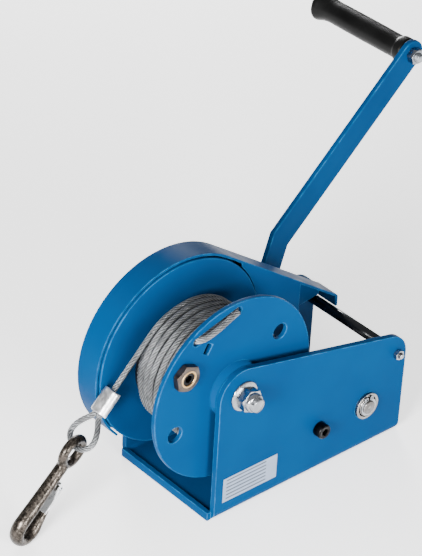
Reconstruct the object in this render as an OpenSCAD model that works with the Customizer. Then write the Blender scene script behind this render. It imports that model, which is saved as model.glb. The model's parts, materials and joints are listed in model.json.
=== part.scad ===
// Brake hand winch for a boat trailer: a bent steel frame, a rope drum with two
// reduction stages under a gear cover, a screw brake with a ratchet and pawl, a
// cranked handle, and a wire rope that ends in a ferrule, an eye and a snap hook.
// X runs from front to rear, Y from the near plate to the crank side, Z is up.
// The origin is the centre of the base bolt pattern, on the underside of the base.

/* [Frame] */
// Length of the side plates, front to rear
plate_len = 204; // [202:1:206]
// Width of the frame over both side plates
frame_w = 116; // [116:0.5:117]
// Thickness of the bent steel
plate_t = 5; // [4.8:0.1:5]
// How far the base lips stand out past the side plates
lip_out = 3.5; // [2:0.5:4]
// Height of the rolled lips on the base
lip_h = 7.5; // [6:0.5:8]
// Radius of the front corner, around the drum axle
front_r = 24; // [23:0.5:25]
// Radius of the rear upper corner
rear_r = 22; // [20:1:24]
// Height of the centre of the rear upper corner
rear_z = 80; // [78:1:82]

/* [Base bolts] */
// Bolt spacing from front to rear
bolt_dx = 150; // [140:5:160]
// Bolt spacing across the base
bolt_dy = 70; // [60:5:76]
// Diameter of the base bolt holes
bolt_d = 10.5; // [9:0.5:11]

/* [Drum] */
// Drum axle behind the front edge of the plates
axle_back = 24; // [24:0.5:25]
// Height of the drum axle
axle_z = 113.5; // [113:0.5:114]
// Outer radius of the drum core
core_r = 24.5; // [24:0.5:25]
// Radius of the near flange
near_flange_r = 79.5; // [76:0.5:80]
// Radius of the far flange
far_flange_r = 81.5; // [79:0.5:82]
// Thickness of both flanges
flange_t = 4; // [3:0.5:4]
// Outer radius of the wound rope
wound_r = 55; // [50:0.5:56]
// Rope diameter
rope_d = 5; // [4:0.5:5]

/* [Gear cover] */
// Inner radius of the round front of the cover
cover_r = 82.7; // [82.5:0.1:83]
// Sheet thickness of the cover
cover_t = 2; // [1.5:0.1:2]
// Slope of the straight top, in degrees below level
cover_slope = 34.4; // [33:0.2:35]
// Width of the cover band
cover_w = 22.8; // [21:0.2:23]

/* [Gears] */
// Module of the drum stage
drum_module = 3.5; // [3.5]
// Teeth on the drum gear
drum_teeth = 44; // [44]
// Teeth on the idler pinion
idler_pinion_teeth = 19; // [19]
// Module of the crank stage
crank_module = 2.5; // [2.5]
// Teeth on the idler gear
idler_gear_teeth = 28; // [28]
// Teeth on the crank pinion
crank_pinion_teeth = 14; // [14]
// Height of the crank shaft and of the idler axle
shaft_z = 44; // [43.5:0.5:44.5]

/* [Crank] */
// Distance from the crank shaft to the grip
crank_len = 274; // [240:2:300]
// Angle of the crank at rest, above level
crank_angle = 43.8; // [30:0.2:60]
// Width of the flat bar
arm_w = 25; // [22:1:26]
// Thickness of the flat bar
arm_t = 5; // [4:0.5:5]
// Radius of the grip
grip_r = 10.5; // [10:0.5:13]
// Length of the grip
grip_len = 114; // [100:2:118]

/* [Rope end] */
// Slope of the free rope, in degrees below level
rope_slope = 46; // [45:0.5:47]
// Slope of the hook, in degrees below level
hook_slope = 50; // [48:0.5:50]

/* [Hidden] */
$fn = 64;
// places along Y
near_out = -frame_w / 2;
near_in = near_out + plate_t;
far_out = frame_w / 2;
far_in = far_out - plate_t;
near_flange_y = -45.7;
far_flange_y = 18.1;
drum_gear_y = far_flange_y + flange_t;
drum_gear_w = 15;
cover_y = 19.8;
cover_end_y = cover_y + cover_w;
idler_pinion_y = 22.6;
idler_gear_y = 43.5;
idler_gear_w = 8;
// axes in the X-Z plane
front_x = -plate_len / 2;
axle_x = front_x + axle_back;
drum_pitch_r = drum_module * drum_teeth / 2;
idler_pinion_r = drum_module * idler_pinion_teeth / 2;
idler_gear_r = crank_module * idler_gear_teeth / 2;
crank_pinion_r = crank_module * crank_pinion_teeth / 2;
drum_stage = drum_pitch_r + idler_pinion_r;
axle_rise = axle_z - shaft_z;
idler_x = axle_x + sqrt(drum_stage * drum_stage - axle_rise * axle_rise);
shaft_x = idler_x + idler_gear_r + crank_pinion_r;
mesh_angle = -asin(axle_rise / drum_stage);
pressure = 25;
backlash = 0.12;
// side plate outline
rear_cx = plate_len / 2 - rear_r;
corner_dx = rear_cx - axle_x;
corner_dz = rear_z - axle_z;
corner_d = sqrt(corner_dx * corner_dx + corner_dz * corner_dz);
top_normal = atan2(corner_dz, corner_dx) + acos((front_r - rear_r) / corner_d);
bend_in = 3;
// tie rod
rod_x = 91.5;
rod_z = 82.4;
rod_r = 4.5;
rod_end_r = 2.5;
// fasteners
axle_r = 6;
sleeve_r = 15;
idler_r = 8;
screw_m8 = 4;
screw_m6 = 3;
shaft_r = 7;
journal_r = 6;
bearing_r = 12;
bearing_w = 6;
bearing_y = near_out - 2.5;
fit = 0.05;
// slot in the near flange for the dead end of the rope: radius and two angles round the axle
slot_r = 72;
slot_a0 = 90;
slot_a1 = 124;
slot_w = 7.4;
// gear cover
top_dir = 90 - cover_slope;
tail_angle = 223;
face_x = 51.5;
face_start_x = axle_x + cover_r * cos(top_dir) + 16;
lip_x = 96.6;
lip_drop = 10.1;
boss_r = 5;
bosses = [[14, 108], [47, 99], [47, 13]];
// brake stack along Y
bush_end = far_out + 2;
flange_disc_y = bush_end + 0.3;
friction_in_y = flange_disc_y + 4;
ratchet_y = friction_in_y + 2.6;
ratchet_w = 6;
friction_out_y = ratchet_y + ratchet_w + 0.1;
hub_y = friction_out_y + 2.5;
arm_hub_y = hub_y + 13;
hub_nut_y = arm_hub_y + arm_t + 2.5;
disc_r = 26;
ratchet_teeth = 12;
ratchet_tip = 32;
ratchet_root = 27;
ratchet_face = 80;
pawl_x = 34;
pawl_z = 78;
pawl_w = 5;
pawl_raised = 12;
// crank arm
arm_main_y = 112.5;
arm_bend_1 = 18;
arm_bend_2 = 77;
grip_y = arm_main_y + arm_t + 1;
grip_x = shaft_x + crank_len * cos(crank_angle);
grip_z = shaft_z + crank_len * sin(crank_angle);
// rope end: a straight line from where the rope leaves the drum
rope_r = rope_d / 2;
rope_y = 10;
lead_dir = 180 + rope_slope;
lead_r = wound_r - rope_r;
lead_x = axle_x + lead_r * cos(90 + rope_slope);
lead_z = axle_z + lead_r * sin(90 + rope_slope);
// the free rope: distance along the line, then offset across it, in millimetres
ferrule_a = 53;
ferrule_b = 75;
lead_route = [[0, 0], [10, 0], [20, 0], [30, 0], [40, 0], [ferrule_a, 0]];
eye_side = [[ferrule_b, 3], [77, 3], [80, 4.8], [83.5, 7.6], [87, 10], [91, 12], [95, 13], [99, 12.5], [102.5, 10],
    [105, 6], [106, 2]];
eye_end = 106;
hook_eye_s = 110.6;
// the hook: u runs from its eye to its bowl, v across it towards the mouth
hook_roll = -16;
bowl_u = 68.2;
bowl_v = 1;
bowl_r = 12.5;
bar_r = 4.8;
shank_r = 4.4;
tip_u = 50.2;
pivot_u = 30;
pivot_v = 4.5;
strip_v = pivot_v + 2.8;
// the shank runs straight from the eye's centre and touches the bowl's circle
shank_len = sqrt(bowl_u * bowl_u + bowl_v * bowl_v - bowl_r * bowl_r);
shank_lean = atan2(bowl_v, bowl_u) - atan2(bowl_r, shank_len);

// ---- helpers ----
// a cylinder along Y between y0 and y1
module ycyl(x, z, y0, y1, r)
    translate([x, y0, z]) rotate([-90, 0, 0]) cylinder(h = y1 - y0, r = r);

// a 2-D outline in X-Z, thickened from y0 to y1
module yext(y0, y1)
    translate([0, y1, 0]) rotate([90, 0, 0]) linear_extrude(y1 - y0) children();

// a hexagon prism along Y
module yhex(x, z, y0, y1, flats)
    translate([x, y0, z]) rotate([-90, 0, 0]) cylinder(h = y1 - y0, r = flats / 2 / cos(30), $fn = 6);

module ytube(x, z, y0, y1, r_out, r_in)
    difference() {
        ycyl(x, z, y0, y1, r_out);
        ycyl(x, z, y0 - 1, y1 + 1, r_in);
    }

function polar(r, a) = [r * cos(a), r * sin(a)];
function corner_top(cx, cz, r) = [cx, cz] + polar(r, top_normal);

// ---- gear teeth: involute flanks with a little backlash ----
function inv_angle(r, base) =
    let (t = r > base ? sqrt(r * r / base / base - 1) : 0) t * 180 / PI - atan(t);
function tooth_half(r, teeth, mod) =
    let (pitch = teeth * mod / 2, base = pitch * cos(pressure))
    90 / teeth - backlash / pitch * 180 / PI + inv_angle(pitch, base) - inv_angle(max(r, base), base);
function tooth_radii(teeth, mod) =
    let (pitch = teeth * mod / 2, root = pitch - mod, tip = pitch + 0.85 * mod)
    [root, max(root + 0.2, pitch * cos(pressure)), pitch, tip];
function gear_points(teeth, mod, phase) =
    let (radii = tooth_radii(teeth, mod), last = len(radii) - 1)
    [for (k = [0:teeth - 1])
        for (i = [0:2 * last + 1])
            let (r = radii[i <= last ? i : 2 * last + 1 - i], side = i <= last ? -1 : 1)
            polar(r, phase + k * 360 / teeth + side * tooth_half(r, teeth, mod))];

module spur_gear(x, z, y0, y1, teeth, mod, phase, bore)
    yext(y0, y1) translate([x, z]) difference() {
        polygon(gear_points(teeth, mod, phase));
        circle(r = bore);
    }

// ---- frame ----
module plate_outline() {
    translate([axle_x, axle_z]) circle(r = front_r);
    translate([rear_cx, rear_z]) circle(r = rear_r);
    polygon([[front_x, bend_in + plate_t], [-front_x, bend_in + plate_t], [-front_x, rear_z],
        [rear_cx, rear_z], corner_top(rear_cx, rear_z, rear_r), corner_top(axle_x, axle_z, front_r),
        [axle_x, axle_z], [axle_x - front_r, axle_z]]);
}

// quarter of the bend between base and side plate, in Y-Z
module bend_outline() {
    outer = bend_in + plate_t;
    intersection() {
        difference() {
            translate([near_out + outer, outer]) circle(r = outer);
            translate([near_out + outer, outer]) circle(r = bend_in);
        }
        translate([near_out, 0]) square(outer);
    }
}

module base_outline() {
    outer = bend_in + plate_t;
    translate([near_out + outer, 0]) square([frame_w - 2 * outer, plate_t]);
    bend_outline();
    mirror([1, 0]) bend_outline();
}

// rolled lip at one end of the base
module base_lip(side) {
    lip_w = frame_w - (side < 0 ? 8 : 16);
    x0 = side * (plate_len / 2 + lip_out / 2 - 0.25);
    translate([x0, 0, lip_h / 2]) cube([lip_out + 0.5, lip_w, lip_h], center = true);
}

// rounds the rear lower corners of the side plates
module rear_corner_cut(side) {
    r = 8;
    y0 = side < 0 ? near_out - 1 : far_out - r;
    yext(y0, y0 + r + 1) difference() {
        translate([plate_len / 2 - r, -1]) square([r + 1, r + 1]);
        translate([plate_len / 2 - r, r]) circle(r = r);
    }
}

module plate_holes() {
    ycyl(axle_x, axle_z, near_out - 1, far_out + 1, axle_r + 0.2);
    ycyl(idler_x, shaft_z, near_out - 1, far_out + 1, screw_m8 + 0.2);
    ycyl(rod_x, rod_z, near_out - 1, far_out + 1, rod_end_r + 0.2);
    ycyl(shaft_x, shaft_z, near_out - 1, near_in + 1, bearing_r);
    ycyl(shaft_x, shaft_z, far_in - 1, far_out + 1, 11);
    ycyl(pawl_x, pawl_z, far_in - 1, far_out + 1, 5);
    for (b = bosses) ycyl(b[0], b[1], far_in - 1, far_out + 1, screw_m6 + 0.2);
}

module frame() color("steelblue") difference() {
    union() {
        yext(near_out, near_in) plate_outline();
        yext(far_in, far_out) plate_outline();
        translate([front_x, 0, 0]) rotate([90, 0, 90]) linear_extrude(plate_len) base_outline();
        base_lip(-1);
        base_lip(1);
    }
    plate_holes();
    rear_corner_cut(-1);
    rear_corner_cut(1);
    for (sx = [-1, 1])
        for (sy = [-1, 1])
            translate([sx * bolt_dx / 2, sy * bolt_dy / 2, -1]) cylinder(h = plate_t + 2, r = bolt_d / 2);
}

// blank rating plate, stuck low on the near plate
module label_plate() color("white")
    translate([-94, near_out - 0.4, 15.5]) cube([57, 0.4, 23]);

// ---- gear cover ----
// point on the inner face of the straight top, at a given X
function top_z(x, r) = axle_z + (r - cos(top_dir) * (x - axle_x)) / sin(top_dir);

module cover_band_outline() {
    outer = cover_r + cover_t;
    big = 3 * outer;
    translate([axle_x, axle_z]) difference() {
        circle(r = outer, $fn = 96);
        circle(r = cover_r, $fn = 96);
        polygon([[0, 0], polar(big, tail_angle), polar(big, 270), polar(big, 330), polar(big, top_dir)]);
    }
    tip_x = lip_x - 3;
    polygon([[axle_x, axle_z] + polar(cover_r, top_dir), [tip_x, top_z(tip_x, cover_r)],
        [lip_x - cover_t, top_z(tip_x, cover_r) - lip_drop], [lip_x, top_z(tip_x, cover_r) - lip_drop],
        [lip_x, top_z(tip_x, outer) - 3], [tip_x + 1.2, top_z(tip_x, outer) - 0.6],
        [tip_x, top_z(tip_x, outer)], [axle_x, axle_z] + polar(outer, top_dir)]);
}

// the near face reaches into the band, and starts where the band has left the round front
module cover_face_outline() difference() {
    polygon([[face_start_x, top_z(face_start_x, cover_r + 1)], [face_x, top_z(face_x, cover_r + 1)],
        [face_x, 9], [-30, 9], [-30, axle_z], [face_start_x, axle_z]]);
    translate([axle_x, axle_z]) circle(r = cover_r, $fn = 96);
    translate([idler_x, shaft_z]) circle(r = 11.5);
}

// the far wall behind the drum gear, with a hole for the drum
module cover_wall_outline() difference() {
    wall_r = cover_r + 1;
    union() {
        translate([axle_x, axle_z]) circle(r = wall_r, $fn = 96);
        polygon([[axle_x, axle_z], [axle_x, axle_z] + polar(wall_r, top_dir),
            [lip_x - 1, top_z(lip_x - 1, wall_r)], [lip_x - 1, 87.6], [face_x, 81], [40, 78]]);
    }
    translate([axle_x, axle_z]) circle(r = core_r + 1.5);
}

module gear_cover() color("steelblue") difference() {
    union() {
        yext(cover_y, cover_end_y) cover_band_outline();
        yext(cover_y, cover_y + cover_t) cover_face_outline();
        yext(cover_end_y - cover_t, cover_end_y) cover_wall_outline();
        for (b = bosses) ycyl(b[0], b[1], cover_y, far_in, boss_r);
    }
    for (b = bosses) ycyl(b[0], b[1], far_in - 18, far_in + 1, screw_m6);
}

module cover_screws() color("silver")
    for (b = bosses) {
        ycyl(b[0], b[1], far_in - 17, far_out + 0.1, screw_m6);
        yhex(b[0], b[1], far_out, far_out + 4, 10);
    }

// ---- drum axle ----
module axle_bolt() color("silver") {
    ycyl(axle_x, axle_z, near_out - 17.5, far_out + 0.1, axle_r);
    yhex(axle_x, axle_z, far_out, far_out + 7.5, 18);
}

module axle_sleeve() color("silver")
    ytube(axle_x, axle_z, near_in, far_in, sleeve_r, axle_r + 0.1);

module axle_nut() color("silver") difference() {
    union() {
        ycyl(axle_x, axle_z, near_out - 2.5, near_out, 13);
        yhex(axle_x, axle_z, near_out - 10.5, near_out - 2.4, 18);
        ycyl(axle_x, axle_z, near_out - 14.5, near_out - 10.4, 8);
    }
    ycyl(axle_x, axle_z, near_out - 20, near_out + 1, axle_r);
}

// ---- drum ----
module drum_tube() color("steelblue")
    ytube(axle_x, axle_z, near_in + 0.6, far_in - 0.6, core_r, core_r - 4);

// point on the near flange, at an angle round the axle
function on_drum(r, a) = [axle_x, axle_z] + polar(r, a);

module near_flange() color("steelblue") difference() {
    ycyl(axle_x, axle_z, near_flange_y, near_flange_y + flange_t, near_flange_r, $fn = 96);
    ycyl(axle_x, axle_z, near_flange_y - 1, near_flange_y + flange_t + 1, core_r);
    yext(near_flange_y - 1, near_flange_y + flange_t + 1) {
        translate(on_drum(57.5, 37)) circle(r = 7);
        translate(on_drum(61.5, 198.5)) circle(r = 7);
        rope_slot_outline();
        translate(on_drum(56.8, 120.7)) rotate(60) square([9, 6], center = true);
        translate(on_drum(61.9, 147)) circle(r = 6);
    }
}

module rope_slot_outline() {
    translate(on_drum(slot_r, slot_a0)) circle(r = slot_w / 2);
    translate(on_drum(slot_r, slot_a1)) circle(r = slot_w / 2);
    p0 = on_drum(slot_r, slot_a0);
    p1 = on_drum(slot_r, slot_a1);
    lean = atan2(p1[1] - p0[1], p1[0] - p0[0]);
    reach = 2 * slot_r * sin((slot_a1 - slot_a0) / 2);
    translate((p0 + p1) / 2) rotate(lean) square([reach, slot_w], center = true);
}

module far_flange() color("steelblue") difference() {
    ycyl(axle_x, axle_z, far_flange_y, far_flange_y + flange_t, far_flange_r, $fn = 96);
    ycyl(axle_x, axle_z, far_flange_y - 1, far_flange_y + flange_t + 1, core_r);
}

module drum_gear() color("dimgray")
    spur_gear(axle_x, axle_z, drum_gear_y, drum_gear_y + drum_gear_w, drum_teeth, drum_module,
        mesh_angle, core_r);

module drum_bushes() color("ivory") {
    for (y = [near_in + 3.6, far_in - 17.6])
        ytube(axle_x, axle_z, y, y + 14, core_r - 4, sleeve_r + fit);
}

// rope on the drum: full to the line where the free end leaves, lower past it
module rope_winding() color("lightgray") {
    y0 = near_flange_y + flange_t + 0.1;
    y1 = rope_y - rope_r - 0.4;
    y2 = far_flange_y - 0.1;
    translate([axle_x, 0, axle_z]) rotate([-90, 0, 0]) rotate_extrude($fn = 96) polygon([[core_r, y0],
        [wound_r - 1.5, y0], [wound_r, y0 + 2], [wound_r, y1 - 1], [wound_r - rope_d - 0.3, y1],
        [wound_r - rope_d - 0.3, y2], [core_r, y2]]);
}

// dead end of the rope, laid in the slot of the near flange
module rope_tail() color("lightgray") {
    p0 = on_drum(slot_r, slot_a0);
    p1 = on_drum(slot_r, slot_a1);
    lean = atan2(p1[1] - p0[1], p1[0] - p0[0]);
    reach = 2 * slot_r * sin((slot_a1 - slot_a0) / 2) - 6;
    mid = (p0 + p1) / 2;
    translate([mid[0], near_flange_y - 1, mid[1]]) rotate([0, -lean, 0]) rotate([0, 90, 0])
        cylinder(h = reach, r = rope_r, center = true);
}

module clamp_nut() color("saddlebrown") difference() {
    p = on_drum(61.9, 147);
    yhex(p[0], p[1], near_flange_y - 6, near_flange_y, 21);
    ycyl(p[0], p[1], near_flange_y - 7, near_flange_y + 1, 6);
}

module clamp_screw() color("dimgray") difference() {
    p = on_drum(61.9, 147);
    ycyl(p[0], p[1], near_flange_y - 5.6, near_flange_y + flange_t, 6);
    yhex(p[0], p[1], near_flange_y - 6, near_flange_y - 1, 6);
}

// ---- idler ----
module idler_axle() color("silver") difference() {
    ycyl(idler_x, shaft_z, near_in, far_in, idler_r);
    ycyl(idler_x, shaft_z, near_in - 1, near_in + 20, screw_m8);
    ycyl(idler_x, shaft_z, far_in - 20, far_in + 1, screw_m8);
}

module idler_spacer() color("silver")
    ytube(idler_x, shaft_z, near_in, idler_pinion_y - 0.4, 11, idler_r);

module idler_screw(y_face, side) {
    y0 = side < 0 ? y_face - 8 : y_face;
    difference() {
        ycyl(idler_x, shaft_z, y0, y0 + 8, 6.5);
        yhex(idler_x, shaft_z, side < 0 ? y0 - 1 : y0 + 4, side < 0 ? y0 + 4 : y0 + 9, 6);
    }
    ycyl(idler_x, shaft_z, side < 0 ? y_face - 0.1 : y_face - 20, side < 0 ? y_face + 20 : y_face + 0.1,
        screw_m8);
}

module idler_screws() color("black") {
    idler_screw(near_out, -1);
    idler_screw(far_out, 1);
}

module idler_pinion() color("dimgray") {
    spur_gear(idler_x, shaft_z, idler_pinion_y, idler_pinion_y + drum_gear_w, idler_pinion_teeth,
        drum_module, mesh_angle + 180 + 180 / idler_pinion_teeth, 11);
    ytube(idler_x, shaft_z, idler_pinion_y + drum_gear_w, idler_gear_y, 18, 11);
}

module idler_gear() color("dimgray")
    spur_gear(idler_x, shaft_z, idler_gear_y, idler_gear_y + idler_gear_w, idler_gear_teeth,
        crank_module, 0, 11);

module idler_bush() color("peru")
    ytube(idler_x, shaft_z, idler_pinion_y, idler_gear_y + idler_gear_w, 11, idler_r + fit);

// ---- tie rod ----
module tie_rod() color("black") {
    ycyl(rod_x, rod_z, near_in, far_in, rod_r);
    ycyl(rod_x, rod_z, near_out - 6, far_out + 6, rod_end_r);
}

module tie_rod_nuts() color("silver")
    for (y = [near_out - 4, far_out]) difference() {
        yhex(rod_x, rod_z, y, y + 4, 8);
        ycyl(rod_x, rod_z, y - 1, y + 5, rod_end_r);
    }

// ---- crank shaft ----
module crank_shaft() color("silver") {
    ycyl(shaft_x, shaft_z, bearing_y - 2.4, bearing_y + bearing_w + 0.1, journal_r);
    ycyl(shaft_x, shaft_z, bearing_y + bearing_w, arm_hub_y + arm_t, shaft_r);
    ycyl(shaft_x, shaft_z, arm_hub_y + arm_t - 0.1, hub_nut_y + 12, journal_r);
}

module bearing_outer() color("silver") difference() {
    ycyl(shaft_x, shaft_z, bearing_y, bearing_y + bearing_w, bearing_r);
    ycyl(shaft_x, shaft_z, bearing_y - 1, bearing_y + bearing_w + 1, 9.7);
    bearing_groove();
}

module bearing_groove()
    translate([shaft_x, bearing_y + bearing_w / 2, shaft_z]) rotate([-90, 0, 0]) rotate_extrude()
        translate([9, 0]) circle(r = 1.65);

module bearing_inner() color("silver") difference() {
    ytube(shaft_x, shaft_z, bearing_y, bearing_y + bearing_w, 8.3, journal_r);
    bearing_groove();
}

module bearing_balls() color("silver")
    for (k = [0:9]) translate([shaft_x, bearing_y + bearing_w / 2, shaft_z]) rotate([0, k * 36, 0])
        translate([9, 0, 0]) sphere(r = 1.55, $fn = 24);

// spring ring in the groove at the near end, with two lugs at the top
module shaft_circlip() color("dimgray") {
    y1 = bearing_y - 0.2;
    yext(y1 - 1.2, y1) translate([shaft_x, shaft_z]) difference() {
        union() {
            circle(r = 8);
            for (a = [72, 108]) translate(polar(8.2, a)) circle(r = 2.2);
        }
        circle(r = journal_r);
        for (a = [72, 108]) translate(polar(8.2, a)) circle(r = 0.9, $fn = 16);
        polygon([[0, 0], polar(14, 82), polar(14, 98)]);
    }
}

module crank_pinion() color("dimgray")
    spur_gear(shaft_x, shaft_z, idler_gear_y - 0.8, idler_gear_y + idler_gear_w + 0.6, crank_pinion_teeth,
        crank_module, 180 + 180 / crank_pinion_teeth, shaft_r);

module far_bush() color("peru") {
    ytube(shaft_x, shaft_z, far_in, far_out, 11, shaft_r + fit);
    ytube(shaft_x, shaft_z, far_out, bush_end, 14, shaft_r + fit);
}

// ---- screw brake ----
module pressure_disc() color("dimgray")
    ytube(shaft_x, shaft_z, flange_disc_y, friction_in_y, disc_r, shaft_r);

module friction_discs() color("sienna") {
    ytube(shaft_x, shaft_z, friction_in_y, friction_in_y + 2.5, disc_r - 1, shaft_r);
    ytube(shaft_x, shaft_z, friction_out_y, friction_out_y + 2.5, disc_r - 1, shaft_r);
}

module ratchet_wheel() color("dimgray") {
    pitch = 360 / ratchet_teeth;
    yext(ratchet_y, ratchet_y + ratchet_w) translate([shaft_x, shaft_z]) difference() {
        polygon([for (k = [0:ratchet_teeth - 1])
            for (i = [0:3])
                let (a = ratchet_face + k * pitch + (i == 0 ? 0 : i / 3 * pitch))
                polar(ratchet_root + (ratchet_tip - ratchet_root) * i / 3, a)]);
        circle(r = shaft_r + fit);
    }
}

// drawn resting in the teeth, then raised clear of them about its pin
module pawl() color("dimgray") {
    tip_in = [shaft_x, shaft_z] + polar(28.2, ratchet_face + 0.7);
    tip_out = [shaft_x, shaft_z] + polar(34.5, ratchet_face + 0.7);
    heel = [shaft_x, shaft_z] + polar(33, ratchet_face + 16);
    y0 = ratchet_y + 0.5;
    pin = [pawl_x, pawl_z];
    outline = [[2, 6], tip_out - pin, tip_in - pin, heel - pin, [-3.4, -5.4]];
    translate([pawl_x, 0, pawl_z]) rotate([0, -pawl_raised, 0]) difference() {
        union() {
            ycyl(0, 0, y0, y0 + pawl_w, 7);
            yext(y0, y0 + pawl_w) polygon(outline);
        }
        ycyl(0, 0, y0 - 1, y0 + pawl_w + 1, 4 + fit);
    }
}

module pawl_pin() color("silver") {
    ycyl(pawl_x, pawl_z, far_in, far_out, 5);
    ycyl(pawl_x, pawl_z, far_out, ratchet_y + 0.3, 6);
    ycyl(pawl_x, pawl_z, ratchet_y + 0.2, ratchet_y + pawl_w + 0.8, 4);
    ycyl(pawl_x, pawl_z, ratchet_y + pawl_w + 0.8, ratchet_y + pawl_w + 4, 6.5);
}

// torsion spring round the pawl pin
module pawl_spring() color("gray") {
    wire = 0.7;
    coil_r = 6 + wire + 0.1;
    ytube(pawl_x, pawl_z, far_out + 0.3, far_out + 7, coil_r + wire, coil_r - wire);
    translate([pawl_x - coil_r, far_out + 1, pawl_z]) cylinder(h = 16, r = wire, $fn = 24);
}

// ---- crank ----
module crank_hub() color("steelblue") difference() {
    union() {
        ycyl(shaft_x, shaft_z, hub_y, hub_y + 4, disc_r);
        ycyl(shaft_x, shaft_z, hub_y + 3.9, arm_hub_y, 15);
    }
    ycyl(shaft_x, shaft_z, hub_y - 1, arm_hub_y + 1, shaft_r);
}

// flat bar with two bends, drawn along X and then turned to its angle
module crank_arm() color("steelblue") {
    rise = arm_main_y - arm_hub_y;
    end_r = arm_w / 2;
    translate([shaft_x, 0, shaft_z]) rotate([0, -crank_angle, 0]) difference() {
        intersection() {
            translate([0, 0, -end_r]) linear_extrude(arm_w) polygon([[-end_r, arm_hub_y],
                [arm_bend_1, arm_hub_y], [arm_bend_2, arm_main_y], [crank_len + end_r, arm_main_y],
                [crank_len + end_r, arm_main_y + arm_t], [arm_bend_2 - 1, arm_main_y + arm_t],
                [arm_bend_1 - 1, arm_hub_y + arm_t], [-end_r, arm_hub_y + arm_t]]);
            yext(arm_hub_y - 1, arm_main_y + arm_t + 1) {
                circle(r = end_r);
                translate([crank_len, 0]) circle(r = end_r);
                translate([0, -end_r]) square([crank_len, arm_w]);
            }
        }
        ycyl(0, 0, arm_hub_y - 1, arm_hub_y + arm_t + 1, shaft_r);
        ycyl(crank_len, 0, arm_main_y - 1, arm_main_y + arm_t + 1, screw_m8);
    }
}

module hub_washer() color("silver")
    ytube(shaft_x, shaft_z, arm_hub_y + arm_t, hub_nut_y, 12.5, journal_r);

module hub_nut() color("silver") difference() {
    yhex(shaft_x, shaft_z, hub_nut_y, hub_nut_y + 10, 18);
    ycyl(shaft_x, shaft_z, hub_nut_y - 1, hub_nut_y + 11, journal_r);
}

module grip_bolt() color("silver") {
    ycyl(grip_x, grip_z, arm_main_y - 10, grip_y + grip_len - 3, screw_m8);
    ycyl(grip_x, grip_z, grip_y + grip_len - 3.1, grip_y + grip_len + 1.5, 7.5);
}

module grip_sleeve() color("silver")
    ytube(grip_x, grip_z, arm_main_y + arm_t, grip_y + grip_len - 3.2, 6, screw_m8);

module grip_nut() color("silver") difference() {
    yhex(grip_x, grip_z, arm_main_y - 6.8, arm_main_y, 13);
    ycyl(grip_x, grip_z, arm_main_y - 8, arm_main_y + 1, screw_m8);
}

module grip() color("black") {
    end = grip_len - 3.5;
    translate([grip_x, grip_y, grip_z]) rotate([-90, 0, 0]) rotate_extrude() difference() {
        polygon([[6 + fit, 0], [grip_r + 1, 0], [grip_r + 1.5, 1.5], [grip_r + 1.5, 8], [grip_r, 10],
            [grip_r, end - 12], [grip_r + 1, end - 7], [grip_r + 3.5, end - 3], [grip_r + 3.5, end - 1],
            [grip_r + 2.5, end], [6 + fit, end]]);
    }
}

// ---- free rope, eye, ferrule and hook ----
// place along and across the straight line of the free rope
function lead_point(p) =
    [lead_x + p[0] * cos(lead_dir), rope_y + p[1], lead_z + p[0] * sin(lead_dir)];
function unit(v) = v / norm(v);
function way(pts, i) = unit(pts[min(i + 1, len(pts) - 1)] - pts[max(i - 1, 0)]);

// a round tube swept along points that all lie in the plane of the free rope
module rope_tube(pts) {
    sides = 10;
    across = [sin(lead_dir), 0, -cos(lead_dir)];
    n = len(pts);
    rings = [for (i = [0:n - 1])
        let (t = way(pts, i), u = cross(t, across))
        for (k = [0:sides - 1])
            pts[i] + rope_r * (cos(k * 360 / sides) * across + sin(k * 360 / sides) * u)];
    walls = [for (i = [0:n - 2])
        for (k = [0:sides - 1])
            [i * sides + k, i * sides + (k + 1) % sides, (i + 1) * sides + (k + 1) % sides,
                (i + 1) * sides + k]];
    start = [for (k = [0:sides - 1]) sides - 1 - k];
    end = [for (k = [0:sides - 1]) (n - 1) * sides + k];
    polyhedron(concat(rings), concat([start], walls, [end]));
}

function mirrored(side) = [for (i = [len(side) - 1:-1:0]) [side[i][0], -side[i][1]]];

module rope_lead() color("lightgray")
    rope_tube([for (p = lead_route) lead_point(p)]);

module rope_eye() color("lightgray")
    rope_tube([for (p = concat(eye_side, mirrored(eye_side))) lead_point(p)]);

// pressed aluminium sleeve that closes the eye
module ferrule() color("gainsboro")
    translate(lead_point([ferrule_a, 0])) rotate([0, -lead_dir, 0]) rotate([90, 0, 90])
        linear_extrude(ferrule_b - ferrule_a)
            polygon([[-7.8, -2.2], [-4.8, -4.8], [4.8, -4.8], [7.8, -2.2], [7.8, 2.2], [4.8, 4.8],
                [-4.8, 4.8], [-7.8, 2.2]]);

// the hook is drawn with its eye at the origin, its length along X and its mouth towards +Z
hook_at = lead_point([eye_end, 0]) + (hook_eye_s - eye_end) * [cos(180 + hook_slope), 0,
    sin(180 + hook_slope)];
module in_hook()
    translate(hook_at) rotate([0, -(180 + hook_slope), 0]) rotate([hook_roll, 0, 0]) children();

// a round bar between two points of the hook's own X-Z plane
module hook_bar(p, q) {
    lean = atan2(q[1] - p[1], q[0] - p[0]);
    translate([p[0], 0, p[1]]) rotate([0, -lean, 0]) rotate([0, 90, 0])
        cylinder(h = norm(q - p), r = shank_r);
}

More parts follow.
